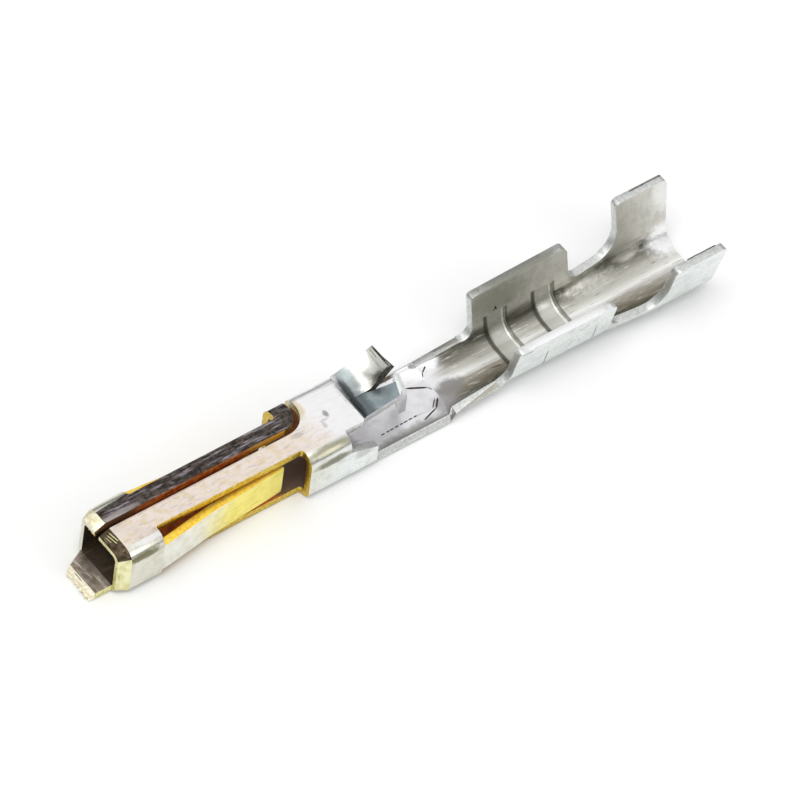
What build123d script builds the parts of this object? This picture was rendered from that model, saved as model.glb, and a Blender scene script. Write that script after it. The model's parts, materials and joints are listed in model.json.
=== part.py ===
# Crimp terminal for a square pin: one piece of stamped and folded sheet metal.
# Millimetres. X runs from the mating nose (0) to the wire end, Y across, Z up.
# The floor of the contact box lies on Z = 0.

import os

from build123d import *

# Sheet
sheet = 0.20                # stock thickness

# Contact box, a folded tube that takes the pin
box_width = 1.88
box_height = 1.41
top_fold = 0.32              # outside radius of the folds along the roof
low_fold = 0.24              # outside radius of the folds along the floor
window_front = 1.18          # the side windows start here
window_rear = 5.25           # and end here
roof_strip_half = 0.53        # half width of the roof between the two windows
floor_strip_half = 0.62       # half width of the floor between the two windows
window_corner = 0.07         # corner radius of the windows in the roof
window_split = 0.70          # height where the roof cut meets the floor cut
far_taper = 0.16             # the far wall leans in by this much towards the nose

# Coined nose
coin_length = 0.27           # length of the bevel round the nose
coin_depth = 0.16            # how far the bevel draws the walls in
coin_edge = 0.11             # thickness left at the very edge
roof_coin = 0.13             # how far the bevel draws the roof down
nose_near_fold = 0.22        # outside radius of the near upper fold at the very edge
nose_far_fold = 0.06         # the same on the far side, which is left almost square

# Lip of the floor, sheared from the carrier strip
lip_length = 0.55
lip_near = 0.64              # from the centre line to the near edge
lip_far_root = 0.54           # from the centre line to the far edge, at the box
lip_far_tip = 0.27            # the same at the tip

# Seam in the roof, which turns through the far wall behind the windows
seam_near = 0.02             # near edge of the seam, from the centre line
seam_width = 0.16
seam_turn = 0.44             # inside radius of the turn
seam_floor = 0.74            # lowest point of the seam in the far wall

# Spring beams, bent in from the side walls
beam_floor_gap = 0.26        # from the box's underside to the beam's lower edge
beam_roof_gap = 0.28         # from the beam's upper edge to the roof's top
beam_end = 4.75              # free ends
beam_inset = 0.02            # the root lies this far inside the wall's outer face
beam_hip_at = 2.70            # where the first, steeper stretch ends
beam_hip_share = 0.55        # share of the inward bend made by then
beam_lap = 0.13             # how far the beam runs into the wall
beam_root_run = 0.10         # the beam leaves the wall this far behind the window's front
beam_bend = 0.60             # radius of the bends along the beam
beam_tip = 0.56              # outer face at the free end, from the centre line
crown_at = 4.35              # contact crown on each beam's inner face
crown_height = 0.10
crown_radius = 0.22
crown_flat = 0.09            # radius of the crown's top
crown_sink = 0.08            # how far the crown's foot is sunk into the beam

# Roof behind the windows: step down, locking lance and wire stop
near_fold_end = 6.37         # the near upper fold ends here
roof_near_edge = 0.60        # near edge of the roof from there on
step_start = 6.90            # the roof steps down from here
step_end = 7.13              # to here
step_drop = 0.18             # how far the roof is lowered
slit_start = 7.55            # lance and wire stop part from here
slit_width = 0.03
strip_lap = 0.05             # how far the two strips run into the roof
lance_near = 0.15            # near edge of the lance, from the centre line
lance_far = 0.83             # far edge of the lance
lance_tip = 8.14
lance_tip_rise = 0.375       # top of the tip above the roof
lance_bevel = 0.18           # coined flat at the tip
lance_far_step = 0.02        # rise of the lance's far edge above the roof, behind the step
lance_far_knee = 0.14        # the same where it bends up
lance_far_knee_at = 7.50
lance_far_bevel = 0.30       # the same where the tip's flat starts
lance_near_knee = -0.16      # the same two rises on its near edge
lance_near_knee_at = 7.65
lance_near_bevel = 0.20
stop_near_root = 0.43        # near edge of the wire stop behind the step
stop_near_tip = 0.34         # and at its rear fold
stop_far_tip = 0.03          # far edge of the wire stop at its rear fold
stop_hook = 0.215            # the folded strip itself reaches this far
stop_end = 8.48              # rear face of the wire stop on the centre line
stop_skew = 0.39             # its fold runs askew: this much further back for each unit across
stop_drop = 0.71             # how far the wire stop reaches down from the lowered roof
stop_fold = 0.22             # outside radius of its fold

# Open gutter between box and barrels: a flat floor with its edges turned up
wall_shoulder = 7.15         # the near wall drops to the gutter here
wall_root_drop = 0.44        # near wall's top under the roof where the upper fold ends
wall_shoulder_drop = 0.71    # the same at the shoulder
gutter_floor = 0.66          # half width of the flat floor
gutter_radius = 0.45         # outside radius of the turned-up edges
gutter_near_turn = 27.0      # degrees, how far the near edge is turned up
gutter_far_turn = 40.0       # degrees, the same on the far side
rise_start = 9.28            # the edges rise into the trough from here
rise_end = 9.42              # to here
rise_floor = 0.20            # half width of the flat floor there
rise_radius = 1.50           # the trough's bottom is a shallow round
rise_bottom_turn = 20.0      # degrees, how far that round turns
rise_side_radius = 0.25      # then it bends up steeply
rise_turn = 75.0             # degrees, at its edges
trough_start = 10.62         # the trough runs into the wire barrel
trough_floor = 0.20
trough_radius = 1.10
trough_bottom_turn = 22.0    # degrees
trough_side_radius = 0.40
trough_turn = 78.0           # degrees
trough_top = 0.40            # top of the trough's edges in front of the wings
scallop_top = 0.56           # the same between the two pairs of wings

# Wire barrel, slightly wider at the rear
wire_start = 10.95
wire_end = 13.66
wire_radius_front = 0.60     # outside radius of the bends beside its floor
wire_radius_rear = 0.63
wire_floor = 0.22            # half width of its floor
wire_flare = 12.0            # degrees, the wings lean outwards
wire_top_front = 1.54
wire_top_rear = 1.57
wire_front_corner = 0.09
wire_rear_corner = 0.17
wing_root = 0.30             # radius at the foot of the wings

# Serrations inside the wire barrel
serration_starts = [11.34, 12.68]
serration_width = 0.52
serration_depth = 0.055
serration_top = 0.80         # they reach this high up the wings

# Insulation barrel
insulation_start = 15.13
insulation_end = 16.58
insulation_radius = 0.73
insulation_floor = 0.25
insulation_flare = 12.0      # degrees
insulation_top = 1.90
insulation_corner = 0.14
scallop_radius = 0.62        # large radius at the foot of the insulation wings
flare_start = 14.75          # the barrel has its full flare from here
rear_slant = 0.14            # the rear edge leans back by this much at the wing tips

bottom_turn = 30.0           # degrees, the share of a bend that the bottom round takes
bottom_ease = 1.08           # the bottom round is this much wider than the bend beside it
wing_spare = 0.20            # how far the wings are drawn past their trimmed tops
clearance = 1.0             # how far the cutting shapes reach past the part
half_width = box_width / 2
beam_top = box_height - beam_roof_gap
stop_top = box_height - step_drop


def wall_at(x):
    """Outer face of the far wall at a place along the box."""
    share = (window_rear - x) / (window_rear - coin_length)
    return half_width - far_taper * share


def underside_of(points):
    """The lower face of a bent strip, a sheet's thickness under its upper face."""
    vectors = [Vector(*point) for point in points]
    runs = [(b - a).normalized() for a, b in zip(vectors, vectors[1:])]
    lower = []
    for vector, before, after in zip(vectors, runs[:1] + runs, runs + runs[-1:]):
        mitre = (before + after).normalized()
        reach = sheet / mitre.dot(before)
        lower.append((vector.X + mitre.Y * reach, vector.Y - mitre.X * reach))
    return lower


def box_section(x, near, far, floor, top, floor_fold, near_fold, far_fold):
    """A closed section of the folded box, as one outline."""
    with BuildSketch(Plane.YZ.offset(x)) as section:
        with Locations(((far - near) / 2, (floor + top) / 2)):
            Rectangle(far + near, top - floor)
        fillet(section.vertices().group_by(Axis.Y)[0], floor_fold)
        fillet(section.vertices().group_by(Axis.Y)[-1].sort_by(Axis.X)[0], near_fold)
        fillet(section.vertices().sort_by_distance((far, top))[0], far_fold)
    return section.sketch


def bend_up(side, height, half_floor, radius, bottom, side_radius, turn):
    """One face of the sheet from its floor outwards: a bottom round, then a side bend."""
    first = JernArc((side * half_floor, height), (side, 0), radius - height, side * bottom)
    return first, JernArc(first @ 1, first % 1, side_radius - height, side * (turn - bottom))


def gutter_section(x, half_floor, radius, bottom, side_radius, near_turn, far_turn):
    """The sheet's section where its edges are turned up and cut square."""
    with BuildSketch(Plane.YZ.offset(x)) as section:
        with BuildLine():
            for height in (0, sheet):
                Line((-half_floor, height), (half_floor, height))
            for side, turn in ((-1, near_turn), (1, far_turn)):
                outer = bend_up(side, 0, half_floor, radius, bottom, side_radius, turn)
                inner = bend_up(side, sheet, half_floor, radius, bottom, side_radius, turn)
                Line(outer[1] @ 1, inner[1] @ 1)
        make_face()
    return section.sketch


def barrel_section(x, half_floor, radius, bottom, side_radius, flare):
    """The sheet's section across a barrel: floor, two bends and two tall wings."""
    with BuildSketch(Plane.YZ.offset(x)) as section:
        with BuildLine():
            Line((0, 0), (half_floor, 0))
            Line((half_floor, sheet), (0, sheet))
            tops = []
            for height in (0, sheet):
                bend = bend_up(1, height, half_floor, radius, bottom, side_radius, 90 - flare)[1]
                lean = bend % 1
                tops.append((bend @ 1) + lean * ((wing_height - (bend @ 1).Y) / lean.Y))
                Line(bend @ 1, tops[-1])
            Line(*tops)
            mirror(about=Plane.YZ)
        make_face()
    return section.sketch


def pressed_section(x, half_floor, radius, flare):
    """What a serration tool fills: the barrel's inside, pressed in a little deeper."""
    floor = sheet - serration_depth
    with BuildSketch(Plane.YZ.offset(x)) as section:
        with BuildLine():
            Line((0, floor), (half_floor, floor))
            bend = bend_up(1, floor, half_floor, radius * bottom_ease, bottom_turn, radius, 90 - flare)[1]
            lean = bend % 1
            top = (bend @ 1) + lean * ((serration_top - (bend @ 1).Y) / lean.Y)
            Line(bend @ 1, top)
            Line(top, (0, serration_top))
            mirror(about=Plane.YZ)
        make_face()
    return section.sketch


# Sections of the gutter: place, half floor, bottom round and its turn, side bend, near and far turn
gutter = (
    gutter_floor, gutter_radius * bottom_ease, gutter_near_turn / 2,
    gutter_radius, gutter_near_turn, gutter_far_turn,
)
trough = (trough_floor, trough_radius, trough_bottom_turn, trough_side_radius)
gutter_sections = [
    (wall_shoulder, *gutter),
    (rise_start, *gutter),
    (rise_end, rise_floor, rise_radius, rise_bottom_turn, rise_side_radius, rise_turn, rise_turn),
    (trough_start, *trough, trough_turn, trough_turn),
]

# Sections of the barrels: place, half floor, bottom round and its turn, side bend, flare of the wings
barrel_sections = [
    (trough_start, *trough, 90 - trough_turn),
] + [
    (x, half_floor, radius * bottom_ease, bottom_turn, radius, flare)
    for x, half_floor, radius, flare in [
        (wire_start, wire_floor, wire_radius_front, wire_flare),
        (wire_end, wire_floor, wire_radius_rear, wire_flare),
        (flare_start, insulation_floor, insulation_radius, insulation_flare),
        (insulation_end, insulation_floor, insulation_radius, insulation_flare),
    ]
]
wing_height = max(wire_top_front, wire_top_rear, insulation_top) + wing_spare

# Locking lance: the far part of the lowered roof, bent up in one oblique fold
with BuildPart() as lance:
    for y, step_rise, knee, knee_rise, bevel_rise in [
        (lance_far, lance_far_step, lance_far_knee_at, lance_far_knee, lance_far_bevel),
        (lance_near, -step_drop, lance_near_knee_at, lance_near_knee, lance_near_bevel),
    ]:
        upper = [
            (step_start - strip_lap, box_height),
            (step_start + strip_lap, box_height),
            (step_end, box_height + step_rise),
            (knee, box_height + knee_rise),
            (lance_tip - lance_bevel, box_height + bevel_rise),
            (lance_tip, box_height + lance_tip_rise),
        ]
        with BuildSketch(Plane.XZ.offset(-y)):
            with BuildLine():
                Polyline(*upper, *reversed(underside_of(upper)), close=True)
            make_face()
    loft(ruled=True)
    with BuildSketch(Plane.XY):
        with BuildLine():
            Polyline(
                (step_start - strip_lap, lance_near),
                (lance_tip + clearance, lance_near),
                (lance_tip + clearance, lance_far),
                (step_start + 2 * strip_lap, lance_far),
                (step_start + 2 * strip_lap, half_width - top_fold),
                (step_start - strip_lap, half_width - top_fold),
                close=True,
            )
        make_face()
    extrude(amount=box_height + lance_tip_rise + clearance, mode=Mode.INTERSECT)

# Wire stop: the near part of the lowered roof, tapered, with a fold askew at its end
with BuildPart() as wire_stop:
    for y in (-half_width, half_width):
        rear = stop_end + stop_skew * y
        upper = [
            (step_start - strip_lap, box_height),
            (step_start + strip_lap, box_height),
            (step_end, stop_top),
            (rear, stop_top),
            (rear, stop_top - stop_drop),
        ]
        with BuildSketch(Plane.XZ.offset(-y)) as stop_section:
            with BuildLine():
                Polyline(*upper, *reversed(underside_of(upper)), close=True)
            make_face()
            for corner, radius in [
                ((rear, stop_top), stop_fold),
                ((rear - sheet, stop_top - sheet), stop_fold - sheet),
            ]:
                fillet(stop_section.vertices().sort_by_distance(corner)[0], radius)
    loft(ruled=True)
    fold_start = stop_end - stop_fold
    with BuildSketch(Plane.XY):
        with BuildLine():
            Polyline(
                (step_start - strip_lap, -roof_near_edge),
                (step_start, -roof_near_edge),
                (step_end, -stop_near_root),
                (fold_start - stop_skew * stop_near_tip, -stop_near_tip),
                (stop_end + clearance, -stop_near_tip),
                (stop_end + clearance, stop_hook),
                (fold_start + stop_skew * stop_hook, stop_hook),
                (fold_start + stop_skew * stop_far_tip, stop_far_tip),
                (slit_start, lance_near - slit_width),
                (slit_start, lance_near),
                (step_start - strip_lap, lance_near),
                close=True,
            )
        make_face()
    extrude(amount=box_height + clearance, mode=Mode.INTERSECT)

with BuildPart() as terminal:

    # Folded tube: drawn in round the nose, straight behind the windows
    nose_far = wall_at(coin_length)
    box_stations = [
        (0, half_width - coin_depth, nose_far - coin_depth, box_height - roof_coin, coin_edge),
        (coin_length, half_width, nose_far, box_height, sheet),
        (window_rear, half_width, half_width, box_height, sheet),
        (wall_shoulder, half_width, half_width, box_height, sheet),
    ]
    nose_folds = (low_fold, nose_near_fold, nose_far_fold)
    folds = (low_fold, top_fold, top_fold)
    loft(
        [box_section(x, near, far, 0, top, *(folds if x else nose_folds))
         for x, near, far, top, wall in box_stations],
        ruled=True,
    )

    # Its inside, a sheet's thickness in and thinner at the coined edge
    inner_folds = (low_fold - sheet, top_fold - sheet, top_fold - sheet)
    inner_nose_folds = (low_fold - sheet, top_fold - sheet, nose_far_fold)
    loft(
        [box_section(x, near - wall, far - wall, sheet, top - wall, *(inner_folds if x else inner_nose_folds))
         for x, near, far, top, wall in box_stations],
        ruled=True, mode=Mode.SUBTRACT,
    )

    # Windows: both side walls with their folds are cut away between nose and rear
    window_length = window_rear - window_front
    window_centre = (window_front + window_rear) / 2
    for side in (-1, 1):
        for inner, bottom, top in [
            (floor_strip_half, -clearance, window_split),
            (roof_strip_half, window_split, box_height + clearance),
        ]:
            with BuildSketch(Plane.XY.offset(bottom)):
                with Locations((window_centre, side * (inner + clearance / 2))):
                    RectangleRounded(window_length, clearance, window_corner)
            extrude(amount=top - bottom, mode=Mode.SUBTRACT)

    # Seam in the roof, turned out through the far wall
    turn_out = seam_turn + seam_width
    turn_centre = turn_out - seam_near
    with BuildSketch(Plane.XY.offset(seam_floor)):
        with BuildLine():
            near_edge = Line((-clearance, -seam_near), (window_rear, -seam_near))
            outer_turn = JernArc(near_edge @ 1, (1, 0), turn_out, 90)
            outer_run = Line(outer_turn @ 1, (window_rear + turn_out, half_width + clearance))
            across = Line(outer_run @ 1, (window_rear + seam_turn, half_width + clearance))
            inner_run = Line(across @ 1, (window_rear + seam_turn, turn_centre))
            inner_turn = JernArc(inner_run @ 1, (0, -1), seam_turn, -90)
            far_edge = Line(inner_turn @ 1, (-clearance, seam_width - seam_near))
            Line(far_edge @ 1, near_edge @ 0)
        make_face()
    extrude(amount=box_height - seam_floor + clearance, mode=Mode.SUBTRACT)

    # The roof is cut back where the lowered strips take over
    with BuildSketch(Plane.XY.offset(sheet + low_fold)):
        with BuildLine():
            Polyline(
                (step_start, -half_width + sheet),
                (wall_shoulder + clearance, -half_width + sheet),
                (wall_shoulder + clearance, half_width + clearance),
                (step_start + 2 * strip_lap, half_width + clearance),
                (step_start + 2 * strip_lap, half_width - top_fold),
                (step_start, half_width - top_fold),
                close=True,
            )
        make_face()
    extrude(amount=box_height, mode=Mode.SUBTRACT)

    # The near upper fold ends, and the near wall slopes down to its shoulder
    with BuildSketch(Plane.XZ.offset(roof_near_edge)):
        with BuildLine():
            Polyline(
                (near_fold_end, box_height + clearance),
                (near_fold_end, box_height - wall_root_drop),
                (wall_shoulder, box_height - wall_shoulder_drop),
                (wall_shoulder + clearance, box_height - wall_shoulder_drop),
                (wall_shoulder + clearance, box_height + clearance),
                close=True,
            )
        make_face()
    extrude(amount=clearance, mode=Mode.SUBTRACT)

    # Gutter and barrels: the sheet's section carried from place to place
    loft([gutter_section(*place) for place in gutter_sections], ruled=True)
    loft([barrel_section(*place) for place in barrel_sections], ruled=True)

    # Wings of the two barrels, cut out along their side view
    rear_foot = insulation_end - rear_slant * (insulation_top + clearance) / insulation_top
    cut_top = wing_height + clearance
    with BuildSketch(Plane.XZ):
        with BuildLine():
            edge = FilletPolyline(
                (trough_start, trough_top),
                (wire_start, trough_top),
                (wire_start, wire_top_front),
                (wire_end, wire_top_rear),
                (wire_end, scallop_top),
                (insulation_start, scallop_top),
                (insulation_start, insulation_top),
                (insulation_end, insulation_top),
                (rear_foot, -clearance),
                radius=[
                    wing_root, wire_front_corner, wire_rear_corner, wing_root,
                    scallop_radius, insulation_corner, insulation_corner,
                ],
            )
            Polyline(
                edge @ 1,
                (insulation_end + clearance, -clearance),
                (insulation_end + clearance, cut_top),
                (trough_start, cut_top),
                edge @ 0,
            )
        make_face()
    extrude(amount=box_width + clearance, both=True, mode=Mode.SUBTRACT)

    # Serration bands pressed into the wire barrel
    for start in serration_starts:
        share = (start - wire_start) / (wire_end - wire_start)
        radius = wire_radius_front + (wire_radius_rear - wire_radius_front) * share
        pressed = pressed_section(start, wire_floor, radius, wire_flare)
        extrude(pressed, amount=serration_width, mode=Mode.SUBTRACT)

    # Lip left in front where the terminal was sheared from its strip
    with BuildSketch():
        with BuildLine():
            Polyline(
                (coin_length, -lip_near),
                (-lip_length, -lip_near),
                (-lip_length, lip_far_tip),
                (0, lip_far_root),
                (coin_length, lip_far_root),
                close=True,
            )
        make_face()
    extrude(amount=sheet)

    # Spring beams, each with a contact crown on its inner face
    for side, wall in [(-1, half_width), (1, wall_at(window_front))]:
        root = wall - beam_inset
        hip = root + (beam_tip - root) * beam_hip_share
        with BuildSketch(Plane.XY.offset(beam_floor_gap)):
            with BuildLine():
                FilletPolyline(
                    (window_front - beam_lap, side * root),
                    (window_front + beam_root_run, side * root),
                    (beam_hip_at, side * hip),
                    (beam_end, side * beam_tip),
                    radius=beam_bend,
                )
                offset(amount=sheet, side=Side.LEFT if side < 0 else Side.RIGHT)
            make_face()
        extrude(amount=beam_top - beam_floor_gap)
        inner = hip + (beam_tip - hip) * (crown_at - beam_hip_at) / (beam_end - beam_hip_at) - sheet
        crown_base = Plane(
            origin=(crown_at, side * (inner + crown_sink), (beam_top + beam_floor_gap) / 2),
            z_dir=(0, -side, 0),
        )
        with Locations(crown_base):
            Cone(
                crown_radius, crown_flat, crown_height + crown_sink,
                align=(Align.CENTER, Align.CENTER, Align.MIN),
            )

    # The two strips of the lowered roof join it at its end
    add(lance.part)
    add(wire_stop.part)

terminal.part.label = "crimp_terminal"
os.makedirs("parts", exist_ok=True)
export_step(terminal.part, "parts/crimp_terminal.step")
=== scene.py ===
import json
import math

import bpy
from mathutils import Matrix, Vector, noise
from mathutils.bvhtree import BVHTree

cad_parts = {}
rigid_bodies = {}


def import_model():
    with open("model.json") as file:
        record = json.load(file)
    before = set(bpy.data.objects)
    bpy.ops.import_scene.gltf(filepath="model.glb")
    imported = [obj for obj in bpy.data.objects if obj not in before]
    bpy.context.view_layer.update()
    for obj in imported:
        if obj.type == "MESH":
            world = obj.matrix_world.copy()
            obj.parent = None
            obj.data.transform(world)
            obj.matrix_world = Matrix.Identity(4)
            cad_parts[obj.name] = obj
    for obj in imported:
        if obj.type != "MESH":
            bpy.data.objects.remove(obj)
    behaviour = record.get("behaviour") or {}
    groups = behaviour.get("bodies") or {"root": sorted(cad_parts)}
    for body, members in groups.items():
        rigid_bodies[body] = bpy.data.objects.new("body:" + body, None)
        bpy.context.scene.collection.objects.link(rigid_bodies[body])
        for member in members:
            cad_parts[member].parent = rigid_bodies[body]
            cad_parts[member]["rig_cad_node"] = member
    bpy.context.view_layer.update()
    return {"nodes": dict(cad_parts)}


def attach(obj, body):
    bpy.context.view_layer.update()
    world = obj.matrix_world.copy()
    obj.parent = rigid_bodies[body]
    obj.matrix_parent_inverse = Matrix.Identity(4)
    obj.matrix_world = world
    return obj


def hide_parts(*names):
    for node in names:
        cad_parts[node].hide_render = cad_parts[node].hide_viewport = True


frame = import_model()
mm = 0.001
print("frame loaded")

# what the whole picture uses
picture = {
    "aim": (7.106, -1.475, 2.967),           # point in the middle of the picture, mm
    "right": (0.8045, -0.588, 0.0869),
    "up": (0.419, 0.664, 0.619),
    "span": 17.88,                            # width seen at that point, mm
    "lens": 1200.0,                           # a long lens, as small parts are shot with
    "sensor": 36.0,
}


def hexColour(code):
    # sRGB hex to the linear values that shaders take
    values = [int(code[i:i + 2], 16) / 255 for i in (1, 3, 5)]
    return tuple(v / 12.92 if v <= 0.04045 else ((v + 0.055) / 1.055) ** 2.4 for v in values) + (1.0,)


def addNode(tree, kind, settings=None, links=None):
    # settings: attributes and input values; links: input name to output socket
    node = tree.nodes.new(kind)
    for key, value in (settings or {}).items():
        if isinstance(key, str) and hasattr(node, key):
            setattr(node, key, value)
        else:
            node.inputs[key].default_value = value
    for key, socket in (links or {}).items():
        tree.links.new(socket, node.inputs[key])
    return node


def newMaterial(name):
    material = bpy.data.materials.new(name)
    material.use_nodes = True
    material.node_tree.nodes.clear()
    return material, material.node_tree


def selectOnly(obj):
    bpy.ops.object.select_all(action="DESELECT")
    obj.select_set(True)
    bpy.context.view_layer.objects.active = obj


# settings that many nodes share
mixed = {"data_type": "RGBA"}
smooth = {"interpolation_type": "SMOOTHSTEP"}
perMm = (1000, 1000, 1000)      # object coordinates, in metres, to millimetres

# the torn outline of every tone patch, painted light and shade among them
patchEdge = {"perMm": 7.0, "raggedness": 0.7, "from": 0.8, "to": 1.4}


def toneAndLightPatch(tree, place, colour, centre, radii, tone, share):
    # a soft, ragged patch of another tone round a place in mm, used for real tone patches and for painted highlights
    # and painted shade
    offset = addNode(tree, "ShaderNodeVectorMath", {"operation": "SUBTRACT", 1: centre},
                     {0: place}).outputs["Vector"]
    scaled = addNode(tree, "ShaderNodeVectorMath", {"operation": "DIVIDE", 1: radii},
                     {0: offset}).outputs["Vector"]
    away = addNode(tree, "ShaderNodeVectorMath", {"operation": "LENGTH"}, {0: scaled}).outputs["Value"]
    torn = addNode(tree, "ShaderNodeTexNoise", {"Scale": patchEdge["perMm"], "Detail": 4.0, "Roughness": 0.6},
                   {"Vector": place}).outputs["Fac"]
    ragged = addNode(tree, "ShaderNodeMath", {"operation": "MULTIPLY_ADD", 1: patchEdge["raggedness"]},
                     {0: torn, 2: away}).outputs["Value"]
    inside = addNode(tree, "ShaderNodeMapRange", {**smooth, "From Min": patchEdge["from"], "From Max": patchEdge["to"],
                                                  "To Min": share, "To Max": 0.0}, {"Value": ragged}).outputs["Result"]
    return addNode(tree, "ShaderNodeMix", {**mixed, 7: hexColour(tone)}, {0: inside, 6: colour}).outputs[2]


# What all the plated finishes share
plating = {
    "streakStretch": (0.12, 1, 1),      # streaks run along the sheet, as it was drawn
    "streakShare": 0.6,                 # of the streaks in the relief, against the grain
    "flashAndShadeWander": 1.6, "flashAndShadeWanderPerMm": 0.9,      # the gold flash, and the painted shade in the box's mouth, ends in a wandering line, mm
}


def platedMetal(name, look):
    # Plated sheet metal: mottled plating, drawn lengthwise streaks and a fine grain
    material, tree = newMaterial(name)
    coords = addNode(tree, "ShaderNodeTexCoord").outputs["Object"]
    stretch = [size * share for size, share in zip(perMm, look.get("streakStretch", plating["streakStretch"]))]
    place = addNode(tree, "ShaderNodeMapping", {"Scale": perMm}, {"Vector": coords}).outputs["Vector"]
    along = addNode(tree, "ShaderNodeMapping", {"Scale": stretch}, {"Vector": coords}).outputs["Vector"]
    pattern = {}
    for key, vector, detail, roughness in (("mottle", place, 5.0, 0.6), ("streak", along, 3.0, 0.6),
                                           ("grain", place, 2.0, 0.5)):
        pattern[key] = addNode(tree, "ShaderNodeTexNoise",
                               {"Scale": look[key + "PerMm"], "Detail": detail, "Roughness": roughness},
                               {"Vector": vector}).outputs["Fac"]
    share = {}
    for key in ("mottle", "streak"):
        low, high = look[key + "Range"]
        share[key] = addNode(tree, "ShaderNodeMapRange", {**smooth, "From Min": low, "From Max": high},
                             {"Value": pattern[key]}).outputs["Result"]
    colours = []
    for keys in (("base", "mottle", "streak"), ("flashAndShadeBase", "flashAndShadeMottle", "flashAndShadeStreak")):
        if keys[0] in look:
            base, mottle, streak = (hexColour(look[key]) for key in keys)
            mottled = addNode(tree, "ShaderNodeMix", {**mixed, 6: base, 7: mottle}, {0: share["mottle"]}).outputs[2]
            colours.append(addNode(tree, "ShaderNodeMix", {**mixed, 7: streak},
                                   {0: share["streak"], 6: mottled}).outputs[2])
    colour = colours[0]
    if "flashAndShadeBase" in look:
        # a second tone towards the contact end, fading out over some tenths of a millimetre: the gold flash, and
        # inside the box painted shade in its mouth
        where = addNode(tree, "ShaderNodeSeparateXYZ", links={"Vector": place}).outputs["X"]
        drift = addNode(tree, "ShaderNodeTexNoise",
                        {"Scale": plating["flashAndShadeWanderPerMm"], "Detail": 3.0, "Roughness": 0.55},
                        {"Vector": place}).outputs["Fac"]
        wander = addNode(tree, "ShaderNodeMath", {"operation": "MULTIPLY_ADD", 1: plating["flashAndShadeWander"]},
                         {0: drift, 2: where}).outputs["Value"]
        bare = addNode(tree, "ShaderNodeMapRange",
                       {**smooth, "From Min": look["flashAndShadeFrom"], "From Max": look["flashAndShadeTo"]},
                       {"Value": wander}).outputs["Result"]
        colour = addNode(tree, "ShaderNodeMix", mixed, {0: bare, 6: colours[1], 7: colours[0]}).outputs[2]
    for patch in look.get("toneAndLightPatches", ()):
        colour = toneAndLightPatch(tree, place, colour, *patch)
    rough = addNode(tree, "ShaderNodeMapRange", {"To Min": look["rough"][0], "To Max": look["rough"][1]},
                    {"Value": pattern["mottle"]}).outputs["Result"]
    height = addNode(tree, "ShaderNodeMath", {"operation": "MULTIPLY_ADD", 1: plating["streakShare"]},
                     {0: pattern["streak"], 2: pattern["grain"]}).outputs["Value"]
    bump = addNode(tree, "ShaderNodeBump", {"Strength": look["bump"], "Distance": look["depth"] * mm},
                   {"Height": height}).outputs["Normal"]
    shader = addNode(tree, "ShaderNodeBsdfPrincipled", {"Metallic": look.get("metallic", 1.0)},
                     {"Base Color": colour, "Roughness": rough, "Normal": bump})
    addNode(tree, "ShaderNodeOutputMaterial", links={"Surface": shader.outputs["BSDF"]})
    return material


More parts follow.
